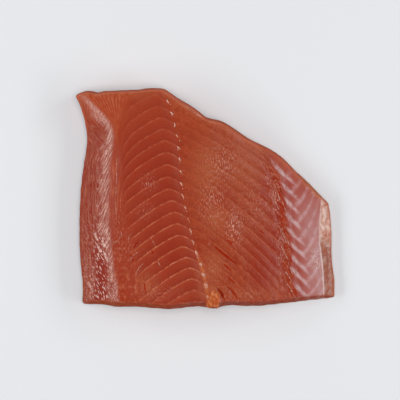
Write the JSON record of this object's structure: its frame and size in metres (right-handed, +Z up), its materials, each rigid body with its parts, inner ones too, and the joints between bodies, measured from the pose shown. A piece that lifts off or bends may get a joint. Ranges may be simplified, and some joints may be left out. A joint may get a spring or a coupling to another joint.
{
  "type": "coho salmon fillet",
  "caption": "Raw coho salmon fillet portion, flesh side up, with a slanting collar cut, flaky loin and flank, and a pale belly strip.",
  "frame": {"origin": "middle of the fillet's box in plan, on the flat skin side that it lies on", "axes": "+X from the back of the fish to its belly, +Y towards the head, +Z up out of the flesh side"},
  "size_m": [0.1372, 0.117, 0.0228],
  "materials": {
    "flesh": "gloss"
  },
  "bodies": {
    "root": {"fillet": "flesh"}
  },
  "joints": []
}
